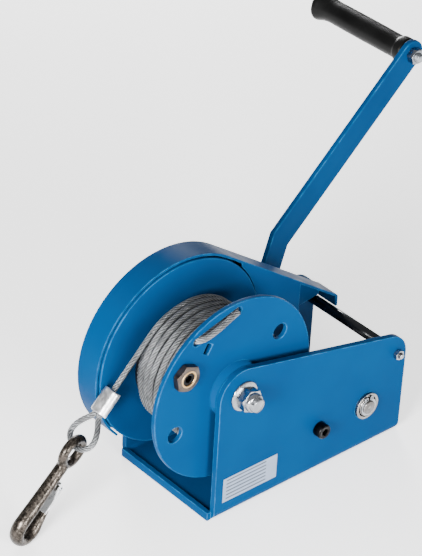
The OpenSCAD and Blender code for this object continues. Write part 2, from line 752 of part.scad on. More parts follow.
// eye, straight shank, round bowl, straight tip, and a lug for the latch pin;
// the shank and the tip reach a little way into the thicker bowl
module hook() color("dimgray") in_hook() difference() {
    union() {
        rotate([90, 0, 0]) rotate_extrude() translate([11.6, 0]) circle(r = 3.9, $fn = 24);
        hook_bar(polar(11.6, shank_lean), polar(shank_len + 2, shank_lean));
        translate([bowl_u, 0, bowl_v]) rotate([90, 0, 0]) rotate([0, 0, shank_lean - 90])
            rotate_extrude(angle = 180 - shank_lean) translate([bowl_r, 0]) circle(r = bar_r, $fn = 32);
        hook_bar([bowl_u + 2, bowl_v + bowl_r], [tip_u, bowl_v + bowl_r]);
        translate([pivot_u - 4.5, -4.4, -4.5]) cube([8, 8.8, pivot_v + 7]);
    }
    ycyl(pivot_u, pivot_v, -9, 9, 1.5);
}

module latch_pin() color("silver") in_hook()
    ycyl(pivot_u, pivot_v, -7, 7, 1.5);

module latch_spring() color("gray") in_hook()
    for (y = [-5.1, 5.1]) translate([pivot_u, y, pivot_v]) rotate([-90, 0, 0])
        rotate_extrude() translate([2.1, 0]) circle(r = 0.4, $fn = 12);

// folded sheet latch: two ears on the pin and a strip that shuts the mouth
module hook_latch() color("silver") in_hook() difference() {
    union() {
        for (y = [5.7, -6.7]) {
            translate([pivot_u - 3.2, y, pivot_v - 3]) cube([12, 1, strip_v + 1 - pivot_v + 3]);
        }
        translate([pivot_u + 4.5, -6.7, strip_v]) cube([tip_u - pivot_u - 0.5, 13.4, 1]);
    }
    ycyl(pivot_u, pivot_v, -8, 8, 1.5 + fit);
}

frame();
label_plate();
gear_cover();
cover_screws();
axle_bolt();
axle_sleeve();
axle_nut();
idler_axle();
idler_spacer();
idler_screws();
tie_rod();
tie_rod_nuts();
bearing_outer();
far_bush();
pawl_pin();
pawl_spring();
pawl();
drum_tube();
near_flange();
far_flange();
drum_gear();
drum_bushes();
rope_winding();
rope_tail();
clamp_nut();
clamp_screw();
idler_pinion();
idler_gear();
idler_bush();
crank_shaft();
crank_pinion();
bearing_inner();
bearing_balls();
shaft_circlip();
pressure_disc();
friction_discs();
ratchet_wheel();
crank_hub();
crank_arm();
hub_washer();
hub_nut();
grip_bolt();
grip_sleeve();
grip_nut();
grip();
rope_lead();
ferrule();
rope_eye();
hook();
latch_pin();
latch_spring();
hook_latch();
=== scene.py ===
"""Looks of the brake winch: rope, hook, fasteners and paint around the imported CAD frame.

Lengths are in millimetres in the code and turn into metres where a mesh is made (MM).
X runs front to rear, Y from the near plate to the crank side, Z is up.
"""
import json
import math

import bmesh
import bpy
from mathutils import Matrix, Vector


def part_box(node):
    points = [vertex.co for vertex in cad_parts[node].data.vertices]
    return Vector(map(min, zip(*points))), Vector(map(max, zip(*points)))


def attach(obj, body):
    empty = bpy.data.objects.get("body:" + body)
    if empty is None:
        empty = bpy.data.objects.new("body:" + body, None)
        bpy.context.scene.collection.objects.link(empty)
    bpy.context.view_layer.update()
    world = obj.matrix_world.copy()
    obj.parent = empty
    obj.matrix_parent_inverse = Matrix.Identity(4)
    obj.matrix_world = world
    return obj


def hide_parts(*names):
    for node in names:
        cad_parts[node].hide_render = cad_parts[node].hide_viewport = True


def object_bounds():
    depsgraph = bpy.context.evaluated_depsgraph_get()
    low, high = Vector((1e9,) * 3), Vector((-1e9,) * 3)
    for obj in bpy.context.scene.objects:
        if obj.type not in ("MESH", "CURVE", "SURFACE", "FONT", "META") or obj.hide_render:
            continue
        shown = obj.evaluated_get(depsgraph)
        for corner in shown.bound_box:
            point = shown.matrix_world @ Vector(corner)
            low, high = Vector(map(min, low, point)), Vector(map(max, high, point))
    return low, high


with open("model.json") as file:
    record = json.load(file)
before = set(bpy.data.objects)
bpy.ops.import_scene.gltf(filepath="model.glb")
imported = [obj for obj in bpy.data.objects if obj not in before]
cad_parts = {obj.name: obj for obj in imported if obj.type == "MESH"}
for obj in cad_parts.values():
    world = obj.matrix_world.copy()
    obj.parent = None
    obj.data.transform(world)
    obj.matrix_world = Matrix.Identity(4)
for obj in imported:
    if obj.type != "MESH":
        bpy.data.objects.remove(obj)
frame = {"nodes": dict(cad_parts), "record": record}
cad_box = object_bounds()
nodes = frame["nodes"]
MM = 0.001
TAU = 2 * math.pi


# ---------------------------------------------------------------- places, read from the frame
def centre(node):
    """Middle of a CAD node's box, in millimetres."""
    low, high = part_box(node)
    return (low + high) / 2 / MM


def reach(node, axis, side):
    """One face of a CAD node's box along an axis, in millimetres; side 0 is low and 1 is high."""
    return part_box(node)[side][axis] / MM


AXLE = centre("near_flange")
IDLER = centre("idler_gear")
SHAFT = centre("bearing_outer")
ROD = centre("tie_rod")
GRIP = centre("grip")
PAWL_PIN = centre("pawl_pin")
# outer faces of the side plates, at minus this Y on the near side and plus this Y on the far side
PLATE_Y = 58.0
WOUND_R = (reach("rope_winding", 2, 1) - reach("rope_winding", 2, 0)) / 2
ROPE_D = 5.0
ROPE_R = ROPE_D / 2
# where the free rope leaves the drum along Y, and its fall towards the front in degrees
ROPE_Y = 10.0
ROPE_SLOPE = 46.0
# the hook's own fall towards the front, and its roll about its length, in degrees
HOOK_SLOPE = 50.0
HOOK_ROLL = -16.0


def polar(r, degrees):
    """The two coordinates of a point at a radius and an angle."""
    a = math.radians(degrees)
    return r * math.cos(a), r * math.sin(a)


# ---------------------------------------------------------------- camera
def make_camera():
    """A long lens above the near front corner, rolled by a few degrees."""
    data = bpy.data.cameras.new("camera")
    data.lens = 160.35
    data.clip_end = 20
    cam = bpy.data.objects.new("camera", data)
    bpy.context.scene.collection.objects.link(cam)
    right = Vector((0.75832, -0.65023, 0.04630))
    up = Vector((0.32597, 0.43976, 0.83687))
    back = Vector((-0.56452, -0.61953, 0.54544))
    place = Matrix((right, up, back)).transposed().to_4x4()
    place.translation = Vector((-1.150607, -1.189954, 1.234934))
    cam.matrix_world = place
    bpy.context.scene.camera = cam


make_camera()


# ---------------------------------------------------------------- mesh helpers
def add_mesh(name, points, faces, sharp=35):
    """A smooth mesh object from points in millimetres, with edges that turn by sharp degrees kept hard."""
    mesh = bpy.data.meshes.new(name)
    mesh.from_pydata([tuple(c * MM for c in p) for p in points], [], faces)
    mesh.validate()
    bm = bmesh.new()
    bm.from_mesh(mesh)
    bmesh.ops.recalc_face_normals(bm, faces=bm.faces)
    limit = math.radians(sharp)
    for edge in bm.edges:
        edge.smooth = len(edge.link_faces) != 2 or edge.calc_face_angle(0) < limit
    for face in bm.faces:
        face.smooth = True
    bm.to_mesh(mesh)
    bm.free()
    obj = bpy.data.objects.new(name, mesh)
    bpy.context.scene.collection.objects.link(obj)
    return obj


def turned(name, at, rows, segments=64, sharp=35):
    """A solid turned about Y through at.

    Each row is (y, r), with r a number or a function of the angle. A row with r 0 is a single point.
    """
    points, faces, rings = [], [], []
    for y, r in rows:
        if r == 0:
            points.append((at[0], y, at[2]))
            rings.append([len(points) - 1])
            continue
        ring = []
        for k in range(segments):
            a = TAU * k / segments
            radius = r(a) if callable(r) else r
            points.append((at[0] + radius * math.cos(a), y, at[2] + radius * math.sin(a)))
            ring.append(len(points) - 1)
        rings.append(ring)
    for one, two in zip(rings, rings[1:]):
        for k in range(segments):
            n = (k + 1) % segments
            quad = [one[k % len(one)], one[n % len(one)], two[n % len(two)], two[k % len(two)]]
            face = list(dict.fromkeys(quad))
            if len(face) > 2:
                faces.append(face)
    return add_mesh(name, points, faces, sharp=sharp)


def ring_solid(name, at, rows, segments=64, sharp=35):
    """A ring turned about Y: the rows close on themselves, and y can also be a function of the angle."""
    points, faces = [], []
    for y, r in rows:
        for k in range(segments):
            a = TAU * k / segments
            radius = r(a) if callable(r) else r
            height = y(a) if callable(y) else y
            points.append((at[0] + radius * math.cos(a), height, at[2] + radius * math.sin(a)))
    count = len(rows)
    for i in range(count):
        j = (i + 1) % count
        for k in range(segments):
            n = (k + 1) % segments
            faces.append((i * segments + k, i * segments + n, j * segments + n, j * segments + k))
    return add_mesh(name, points, faces, sharp=sharp)


def skin(faces, rings, around, base=0, capped=True):
    """Adds quads between neighbouring rings of points, and a face over each end."""
    for i in range(rings - 1):
        here, there = base + i * around, base + (i + 1) * around
        for k in range(around):
            n = (k + 1) % around
            faces.append((here + k, here + n, there + n, there + k))
    if capped:
        faces.append(tuple(base + k for k in range(around)))
        faces.append(tuple(base + (rings - 1) * around + k for k in range(around)))


def hex_radius(flats, turn=0):
    """Radius of a hexagon of that width across flats, as a function of the angle."""
    def radius(a):
        part = (a - turn + math.pi / 6) % (math.pi / 3) - math.pi / 6
        return flats / 2 / math.cos(part)
    return radius


def chamfer(y, flats, toward, turn=0):
    """Height of a hexagon's edge where a 30 degree cone cuts its corners."""
    across = hex_radius(flats, turn)
    return lambda a: y + toward * (across(a) - flats / 2) * 0.58


def hex_nut(name, at, y0, y1, flats, bore, turn=0):
    """A hexagon nut between y0 and y1, with chamfered corners and a countersunk bore."""
    outer = hex_radius(flats, turn)
    inner = flats / 2 * 0.96
    rows = [(y0 + 0.5, bore), (y0, bore + 0.5), (y0, inner), (chamfer(y0 + 0.02, flats, 1, turn), outer),
        (chamfer(y1 - 0.02, flats, -1, turn), outer), (y1, inner), (y1, bore + 0.5), (y1 - 0.35, bore)]
    return ring_solid(name, at, rows, 72, 28)


def threaded(name, at, y0, y1, radius, pitch, tip):
    """A threaded end between y0 and y1. Its chamfered tip is at y0 where tip is -1, at y1 where it is 1."""
    depth = pitch * 0.45
    steps = max(8, int((y1 - y0) / pitch * 4))
    rows = [(y0, 0)]
    for i in range(steps + 1):
        y = y0 + (y1 - y0) * i / steps
        end = (y - y0) if tip < 0 else (y1 - y)
        cut = max(0.0, depth * 1.3 - end)
        phase = y / pitch

        def radius_at(a, phase=phase, cut=cut):
            wave = abs(((phase - a / TAU) % 1) * 2 - 1)
            return min(radius - depth * wave, radius - cut)
        rows.append((y, radius_at))
    rows.append((y1, 0))
    return turned(name, at, rows, 48, 60)


def sweep(points):
    """Frames carried along a route without twist: a list of (point, side, up) vectors."""
    points = [Vector(p) for p in points]
    count = len(points)
    ways = [(points[min(i + 1, count - 1)] - points[max(i - 1, 0)]).normalized() for i in range(count)]
    side = ways[0].orthogonal().normalized()
    frames = []
    for i, (point, way) in enumerate(zip(points, ways)):
        if i:
            side = ways[i - 1].rotation_difference(way) @ side
            side = (side - way * side.dot(way)).normalized()
        frames.append((point, side, way.cross(side)))
    return frames


# rope: length of one full twist, number of strands, and the grooves' radius as a share of the rope's
LAY = 22.0
STRANDS = 6
GROOVE = 0.74


def rope_mesh(route, per_strand=3, start=0.0):
    """A six-strand rope along a route with even steps. The twist shows as lobes that wind round it."""
    radius = ROPE_R
    around = STRANDS * per_strand
    frames = sweep(route)
    step = (frames[1][0] - frames[0][0]).length
    points, faces, depth, uv = [], [], [], []
    for i, (point, side, up) in enumerate(frames):
        twist = TAU * (start + i * step / LAY)
        for k in range(around):
            a = TAU * k / around
            part = (k % per_strand) / per_strand * TAU / STRANDS - math.pi / STRANDS
            r = radius * (2 * math.cos(part) + math.sqrt(max(0.0, 1 - 4 * math.sin(part) ** 2))) / 3
            r = max(r, radius * GROOVE)
            turn = a + twist
            points.append(point + (side * math.cos(turn) + up * math.sin(turn)) * r)
            depth.append((radius - r) / ((1 - GROOVE) * radius))
            uv.append((turn / TAU, start + i * step / LAY))
    skin(faces, len(frames), around)
    return points, faces, depth, uv


def rope_object(name, parts):
    """One object from several rope_mesh() results, with its groove depth and lay stored for the material."""
    points, faces, depth, uv = [], [], [], []
    for p, f, d, u in parts:
        base = len(points)
        points += p
        faces += [tuple(base + i for i in face) for face in f]
        depth += d
        uv += u
    obj = add_mesh(name, points, faces, sharp=80)
    groove = obj.data.attributes.new("groove", "FLOAT", "POINT")
    groove.data.foreach_set("value", depth)
    lay = obj.data.attributes.new("lay", "FLOAT_VECTOR", "POINT")
    lay.data.foreach_set("vector", [c for u in uv for c in (u[0], u[1], 0.0)])
    return obj


def resample(route, step):
    """A route with even steps, on a smooth curve through its points."""
    knots = [Vector(p) for p in route]
    parts = 12
    fine = []
    for i in range(len(knots) - 1):
        a = knots[max(i - 1, 0)]
        b, c = knots[i], knots[i + 1]
        d = knots[min(i + 2, len(knots) - 1)]
        for s in range(parts):
            t = s / parts
            fine.append(0.5 * (2 * b + (c - a) * t + (2 * a - 5 * b + 4 * c - d) * t * t
                + (3 * b - a - 3 * c + d) * t ** 3))
    fine.append(knots[-1])
    total = sum((q - p).length for p, q in zip(fine, fine[1:]))
    count = max(2, round(total / step))
    out, want, walked = [fine[0]], total / count, 0.0
    for p, q in zip(fine, fine[1:]):
        length = (q - p).length
        while walked + length >= want - 1e-6 and len(out) < count:
            out.append(p.lerp(q, (want - walked) / length))
            want += total / count
        walked += length
    out.append(fine[-1])
    return out


# ---------------------------------------------------------------- the free rope and its eye
# the rope's middle line leaves the drum at this radius and this point
LEAD_R = WOUND_R - ROPE_R
LEAD_X = AXLE[0] + polar(LEAD_R, 90 + ROPE_SLOPE)[0]
LEAD_Z = AXLE[2] + polar(LEAD_R, 90 + ROPE_SLOPE)[1]
# distances along the free rope's line: the ferrule's two ends and the far end of the eye
FERRULE_FROM = 53.0
FERRULE_TO = 75.0
EYE_TIP = 106
# points as (along, across): the free rope up to the ferrule, and one side of the eye
LEAD_ROUTE = [(s, 0) for s in (0, 10, 20, 30, 40, FERRULE_FROM)]
EYE_SIDE = [(FERRULE_TO, 3), (77, 3), (80, 4.8), (83.5, 7.6), (87, 10), (91, 12), (95, 13), (99, 12.5),
    (102.5, 10), (105, 6), (EYE_TIP, 2)]


def lead_point(along, across, off=0.0):
    """A point along and across the free rope's line; off is square to both, upwards."""
    dx, dz = polar(1, 180 + ROPE_SLOPE)
    return Vector((LEAD_X + along * dx + off * dz, ROPE_Y + across, LEAD_Z + along * dz - off * dx))


def make_free_rope():
    """The rope from the drum to the ferrule, and the eye beyond it, with their middle lines."""
    lead = resample([lead_point(*p) for p in LEAD_ROUTE], 1.5)
    rope = rope_object("free_rope", [rope_mesh(lead)])
    eye_points = [lead_point(*p) for p in EYE_SIDE] + [lead_point(s, -o) for s, o in reversed(EYE_SIDE)]
    loop = resample(eye_points, 1.5)
    eye = rope_object("eye_rope", [rope_mesh(loop)])
    for piece, node in ((rope, "rope_lead"), (eye, "rope_eye")):
        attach(piece, "frame_body")
        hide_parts(node)
    return rope, eye, lead, loop


free_rope, eye_rope, lead_line, eye_line = make_free_rope()


# ---------------------------------------------------------------- materials
def material(name):
    """A new material, its node tree and its main shader."""
    mat = bpy.data.materials.new(name)
    mat.use_nodes = True
    tree = mat.node_tree
    return mat, tree, tree.nodes["Principled BSDF"]


def node(tree, kind, **inputs):
    """A new node with input values; an underscore stands for a space in an input's name."""
    made = tree.nodes.new(kind)
    for key, value in inputs.items():
        made.inputs[key.replace("_", " ")].default_value = value
    return made


def noise(tree, scale, detail=4.0, stretch=None):
    """Noise on the object's own coordinates, in metres."""
    coord = tree.nodes.new("ShaderNodeTexCoord")
    out = coord.outputs["Object"]
    if stretch:
        mapping = tree.nodes.new("ShaderNodeMapping")
        mapping.inputs["Scale"].default_value = stretch
        tree.links.new(out, mapping.inputs["Vector"])
        out = mapping.outputs["Vector"]
    made = node(tree, "ShaderNodeTexNoise", Scale=scale, Detail=detail)
    tree.links.new(out, made.inputs["Vector"])
    return made.outputs["Fac"]


def combined(tree, operation, one, two=None):
    """A maths node on one or two values, each a number or a socket."""
    made = tree.nodes.new("ShaderNodeMath")
    made.operation = operation
    for value, socket in zip((one, two), made.inputs):
        if isinstance(value, float):
            socket.default_value = value
        elif value is not None:
            tree.links.new(value, socket)
    return made.outputs[0]


def ranged(tree, source, low, high, from_low=0.3, from_high=0.7):
    """Map a value from one range to another. The default range suits noise."""
    made = tree.nodes.new("ShaderNodeMapRange")
    for key, value in (("From Min", from_low), ("From Max", from_high), ("To Min", low), ("To Max", high)):
        made.inputs[key].default_value = value
    tree.links.new(source, made.inputs["Value"])
    return made.outputs["Result"]


def mixed(tree, factor, one, two):
    """Mix two colours, each a colour or a socket."""
    made = tree.nodes.new("ShaderNodeMix")
    made.data_type = "RGBA"
    for value, key in ((one, 6), (two, 7)):
        if isinstance(value, tuple):
            made.inputs[key].default_value = (*value, 1)
        else:
            tree.links.new(value, made.inputs[key])
    tree.links.new(factor, made.inputs[0])
    return made.outputs[2]


def bumped(tree, bsdf, height, distance, strength=1.0, rounded=0.0):
    """Bump in metres, over edges that look rounded by that radius."""
    bump = node(tree, "ShaderNodeBump", Strength=strength, Distance=distance)
    tree.links.new(height, bump.inputs["Height"])
    if rounded:
        edge = tree.nodes.new("ShaderNodeBevel")
        edge.samples = 4
        edge.inputs["Radius"].default_value = rounded
        tree.links.new(edge.outputs["Normal"], bump.inputs["Normal"])
    tree.links.new(bump.outputs["Normal"], bsdf.inputs["Normal"])


def edge_mask(tree, radius, low, high):
    """1 on edges and 0 on flats, from the cosine of a bevelled normal's turn: 1 at low and 0 at high."""
    edge = tree.nodes.new("ShaderNodeBevel")
    edge.samples = 4
    edge.inputs["Radius"].default_value = radius
    geometry = tree.nodes.new("ShaderNodeNewGeometry")
    dot = tree.nodes.new("ShaderNodeVectorMath")
    dot.operation = "DOT_PRODUCT"
    tree.links.new(edge.outputs["Normal"], dot.inputs[0])
    tree.links.new(geometry.outputs["Normal"], dot.inputs[1])
    return ranged(tree, dot.outputs["Value"], 1.0, 0.0, low, high)


def painted(name, colour, dark, edge_highlight, rough=0.34):
    """Paint in two close shades, with a painted highlight in a lighter one along its edges, broken into
    patches.
    """
    mat, tree, bsdf = material(name)
    body = mixed(tree, ranged(tree, noise(tree, 16, 3), 0, 1), colour, dark)
    edges = edge_mask(tree, radius=0.0014, low=0.90, high=0.995)
    patches = ranged(tree, noise(tree, 130, 5), 0.25, 1.0, 0.4, 0.62)
    # painted highlight: the lighter shade along the edges, broken into patches
    edge_highlight_mask = combined(tree, "MULTIPLY", edges, patches)
    tree.links.new(mixed(tree, edge_highlight_mask, body, edge_highlight), bsdf.inputs["Base Color"])
    tree.links.new(ranged(tree, noise(tree, 60, 5), rough - 0.05, rough + 0.1), bsdf.inputs["Roughness"])
    bsdf.inputs["Specular IOR Level"].default_value = 0.015
    bumped(tree, bsdf, noise(tree, 900, 2), distance=0.00006, strength=0.5, rounded=0.0007)
    return mat


def metal(name, colour, dark, rough, grain=(1, 1, 1), scale=260, pits=0.00003):
    """Metal between two shades. Grain stretches the fine noise, and pits is its depth in metres."""
    mat, tree, bsdf = material(name)
    bsdf.inputs["Metallic"].default_value = 1.0
    spread = noise(tree, scale, 6, grain)
    patches = ranged(tree, noise(tree, scale / 4, 5), 0, 1)
    tree.links.new(mixed(tree, patches, colour, dark), bsdf.inputs["Base Color"])
    tree.links.new(ranged(tree, spread, rough - 0.08, rough + 0.14), bsdf.inputs["Roughness"])
    bumped(tree, bsdf, spread, distance=pits, strength=0.6, rounded=0.00035)
    return mat


def plastic(name, colour, dark, rough, scale=1500, depth=0.00004, specular=0.5):
    """Plastic, rubber or smooth black paint between two shades, with a fine grain of that depth."""
    mat, tree, bsdf = material(name)
    bsdf.inputs["Specular IOR Level"].default_value = specular
    patches = ranged(tree, noise(tree, 40, 5), 0, 1)
    tree.links.new(mixed(tree, patches, colour, dark), bsdf.inputs["Base Color"])
    tree.links.new(ranged(tree, noise(tree, 90, 5), rough - 0.06, rough + 0.1), bsdf.inputs["Roughness"])
    bumped(tree, bsdf, noise(tree, scale, 3), distance=depth, strength=0.7, rounded=0.0006)
    return mat


def rope_material():
    """Bright wires along the rope on strands that wind round it, with painted shade in the grooves."""
    wires_around = 30.0
    mat, tree, bsdf = material("wire_rope")
    bsdf.inputs["Metallic"].default_value = 0.85
    groove = tree.nodes.new("ShaderNodeAttribute")
    groove.attribute_name = "groove"
    lay = tree.nodes.new("ShaderNodeAttribute")
    lay.attribute_name = "lay"
    split = tree.nodes.new("ShaderNodeSeparateXYZ")
    tree.links.new(lay.outputs["Vector"], split.inputs[0])
    wires = combined(tree, "SINE", combined(tree, "MULTIPLY", split.outputs["X"], TAU * wires_around))
    bright = mixed(tree, ranged(tree, noise(tree, 120, 5), 0, 1), (0.30, 0.31, 0.32), (0.15, 0.155, 0.16))
    # painted shade: the colour darkens towards black with the groove depth
    groove_shaded = mixed(tree, ranged(tree, groove.outputs["Fac"], 0, 1, 0.25, 1.0), bright, (0.02, 0.02, 0.02))
    tree.links.new(groove_shaded, bsdf.inputs["Base Color"])
    tree.links.new(ranged(tree, noise(tree, 300, 4), 0.28, 0.5), bsdf.inputs["Roughness"])
    bumped(tree, bsdf, ranged(tree, wires, 0, 1, -1, 1), distance=0.00018, strength=0.8)
    return mat


def label_material():
    """A grey plate with plain dark bands in place of any marking."""
    bands = 6.5
    mat, tree, bsdf = material("label")
    low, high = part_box("label_plate")
    coord = tree.nodes.new("ShaderNodeTexCoord")
    split = tree.nodes.new("ShaderNodeSeparateXYZ")
    tree.links.new(coord.outputs["Object"], split.inputs[0])
    height = combined(tree, "MULTIPLY", split.outputs["Z"], TAU * bands / (high.z - low.z))
    band = ranged(tree, combined(tree, "SINE", height), 0, 1, 0.45, 0.6)
    after = ranged(tree, split.outputs["X"], 0, 1, low.x + 0.003, low.x + 0.0035)
    until = ranged(tree, split.outputs["X"], 1, 0, high.x - 0.012, high.x - 0.0115)
    shown = combined(tree, "MULTIPLY", combined(tree, "MULTIPLY", after, until), band)
    plate = mixed(tree, ranged(tree, noise(tree, 90, 5), 0, 1), (0.20, 0.245, 0.32), (0.165, 0.205, 0.28))
    tree.links.new(mixed(tree, shown, plate, (0.035, 0.042, 0.055)), bsdf.inputs["Base Color"])
    tree.links.new(ranged(tree, noise(tree, 200, 4), 0.3, 0.45), bsdf.inputs["Roughness"])
    bsdf.inputs["Specular IOR Level"].default_value = 0.1
    bumped(tree, bsdf, noise(tree, 400, 3), distance=0.00003, strength=0.5)
    return mat


def forged_material():
    """Dark forged steel with a mottled scale and painted highlights in scattered lighter spots."""
    mat, tree, bsdf = material("forged_steel")
    bsdf.inputs["Metallic"].default_value = 0.9
    mottle = ranged(tree, noise(tree, 300, 8), 0, 1, 0.42, 0.6)
    scale = mixed(tree, mottle, (0.018, 0.015, 0.012), (0.06, 0.05, 0.042))
    # painted highlights: lighter spots scattered by noise
    highlight_spots = ranged(tree, noise(tree, 700, 6), 0, 0.5, 0.55, 0.68)
    tree.links.new(mixed(tree, highlight_spots, scale, (0.22, 0.19, 0.16)), bsdf.inputs["Base Color"])
    tree.links.new(ranged(tree, noise(tree, 420, 6), 0.2, 0.46), bsdf.inputs["Roughness"])
    bumped(tree, bsdf, noise(tree, 600, 8), distance=0.00018, strength=0.6)
    return mat


# colours are linear; each look is a colour, a second shade and a roughness
BLUE = (0.0010, 0.034, 0.106)
BLUE_DARK = (0.0007, 0.028, 0.092)
# a lighter blue, painted as a highlight along the paint's edges
BLUE_EDGE_HIGHLIGHT = (0.022, 0.135, 0.300)
LOOKS = {
    "blue_paint": painted("blue_paint", BLUE, BLUE_DARK, BLUE_EDGE_HIGHLIGHT),
    "label": label_material(),
    "zinc": metal("zinc", (0.44, 0.46, 0.48), (0.20, 0.21, 0.23), 0.2),
    "bearing_steel": metal("bearing_steel", (0.34, 0.33, 0.32), (0.17, 0.165, 0.16), 0.2, (1, 6, 1)),
    "gear_steel": metal("gear_steel", (0.20, 0.20, 0.21), (0.12, 0.11, 0.10), 0.4),
    "black_oxide": metal("black_oxide", (0.012, 0.012, 0.013), (0.007, 0.007, 0.007), 0.34),
    "black_paint": plastic("black_paint", (0.006, 0.007, 0.009), (0.01, 0.011, 0.013), 0.2, specular=0.3),
    "bronze": metal("bronze", (0.58, 0.38, 0.18), (0.36, 0.22, 0.10), 0.35),
    "nylon": plastic("nylon", (0.03, 0.03, 0.033), (0.02, 0.02, 0.022), 0.5),
    "friction_lining": plastic("friction_lining", (0.16, 0.09, 0.06), (0.09, 0.06, 0.05), 0.8, 700, 0.0002),
    "wire_rope": rope_material(),
    "rusty_steel": metal("rusty_steel", (0.13, 0.105, 0.09), (0.045, 0.035, 0.03), 0.36, scale=500,
        pits=0.0001),
    "ferrule_alloy": metal("ferrule_alloy", (0.90, 0.90, 0.91), (0.74, 0.74, 0.75), 0.38, pits=0.0001),
    "forged_steel": forged_material(),
    "latch_steel": metal("latch_steel", (0.90, 0.91, 0.92), (0.74, 0.75, 0.76), 0.3),
    "grip_rubber": plastic("grip_rubber", (0.002, 0.002, 0.002), (0.004, 0.004, 0.004), 0.36, specular=0.1),
}


def finish_piece(obj, body, slot, *replaced):
    """Give a new piece the material of its record slot and its body, and hide the CAD nodes that it stands
    for.
    """
    obj.data.materials.clear()
    obj.data.materials.append(LOOKS[slot])
    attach(obj, body)
    if replaced:
        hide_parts(*replaced)
    return obj


# ---------------------------------------------------------------- CAD nodes that stay
def dress_cad_nodes():
    """Each CAD node takes its slot's material and smooth round faces, and some take softened edges."""
    slots = {part["node"]: part["material_slot"] for part in frame["record"]["subparts"]}
    # widths of the softened edges, in millimetres
    bevels = {"frame": 1.2, "gear_cover": 0.5, "crank_arm": 0.8, "near_flange": 0.7, "far_flange": 0.7,
        "tie_rod_nuts": 0.3, "bearing_outer": 0.4, "shaft_circlip": 0.15, "crank_hub": 0.6, "hub_washer": 0.3,
        "label_plate": 0.1}
    for name, obj in nodes.items():
        obj.data.materials.clear()
        obj.data.materials.append(LOOKS[slots[name]])
        for face in obj.data.polygons:
            face.use_smooth = True
        weld = obj.modifiers.new("weld", "WELD")
        weld.merge_threshold = 0.000002
        if name in bevels:
            flat = obj.modifiers.new("planes", "DECIMATE")
            flat.decimate_type = "DISSOLVE"
            flat.angle_limit = math.radians(0.6)
            bevel = obj.modifiers.new("edges", "BEVEL")
            bevel.width = bevels[name] * MM
            bevel.segments = 2
            bevel.limit_method = "ANGLE"
            bevel.angle_limit = math.radians(40)
            normals = obj.modifiers.new("normals", "WEIGHTED_NORMAL")
            normals.keep_sharp = True
            normals.weight = 80


dress_cad_nodes()


# ---------------------------------------------------------------- rope on the drum
def drum_route(radius, y_at, turns, end, step):
    """Turns round the drum that end at an angle, in degrees, with a small wobble that fades at the end.

    y_at gives the place along Y for a number of turns back from the end.
    """
    count = int(turns * TAU * radius / step)
    route = []
    for i in range(count + 1):
        back = turns * (1 - i / count)
        a = math.radians(end) - back * TAU
        sway = 0.35 * math.sin(2.3 * a) + 0.25 * math.sin(5.1 * a + 1.0)
        sink = 0.25 + 0.25 * math.sin(1.7 * a)
        fade = min(1.0, back * 4)
        r = radius - sink * fade
        route.append((AXLE[0] + r * math.cos(a), y_at(back) + sway * fade, AXLE[2] + r * math.sin(a)))
    return route


def make_winding():
    """The top layer up to the free rope, the full layer under it, and a plain core below both."""
    top_pitch, under_pitch, layer, core_r = 6.4, 5.5, 4.6, 25
    low = reach("rope_winding", 1, 0) + ROPE_R + 0.4
    high = reach("rope_winding", 1, 1) - ROPE_R - 0.4
    turns = (ROPE_Y - low - 0.6) / top_pitch
    top = drum_route(LEAD_R, lambda back: ROPE_Y - top_pitch * back, turns, 90 + ROPE_SLOPE, 1.8)
    under_r = LEAD_R - layer
    under_turns = (high - low) / under_pitch
    under = drum_route(under_r, lambda back: high - under_pitch * back, under_turns, 60, 2.4)
    rope = rope_object("wound_rope", [rope_mesh(top, start=0.3), rope_mesh(under, 2)])
    finish_piece(rope, "drum_body", "wire_rope", "rope_winding")
    outer = under_r - 0.6
    rows = [(low - 2, core_r), (low - 2, outer), (high + 2, outer), (high + 2, core_r)]
    core = ring_solid("winding_core", AXLE, rows, 96)
    finish_piece(core, "drum_body", "rusty_steel")


make_winding()


def make_rope_tail():
    """The dead end comes out of the flange's slot, lies along it and goes back in."""
    face = reach("near_flange", 1, 0)
    slot_r, slot_from, slot_to = 72, 124, 90
    (x0, z0), (x1, z1) = polar(slot_r, slot_from), polar(slot_r, slot_to)
    # share of the way from end to end, and height off the flange's face
    shape = [(0.0, 3.0), (0.04, 0.4), (0.15, -1.9), (0.3, -2.6), (0.5, -2.4), (0.7, -1.6), (0.85, -0.9),
        (1.0, -0.5)]
    route = [(AXLE[0] + x0 + (x1 - x0) * t, face + y, AXLE[2] + z0 + (z1 - z0) * t) for t, y in shape]
    points, faces, depth, uv = rope_mesh(resample(route, 1.4), start=0.1)
    # the cut end takes the grooves' painted shade
    depth[-3 * STRANDS:] = [1.0] * (3 * STRANDS)
    rope = rope_object("dead_end", [(points, faces, depth, uv)])
    finish_piece(rope, "drum_body", "wire_rope", "rope_tail")


make_rope_tail()
free_rope.data.materials.append(LOOKS["wire_rope"])
eye_rope.data.materials.append(LOOKS["wire_rope"])


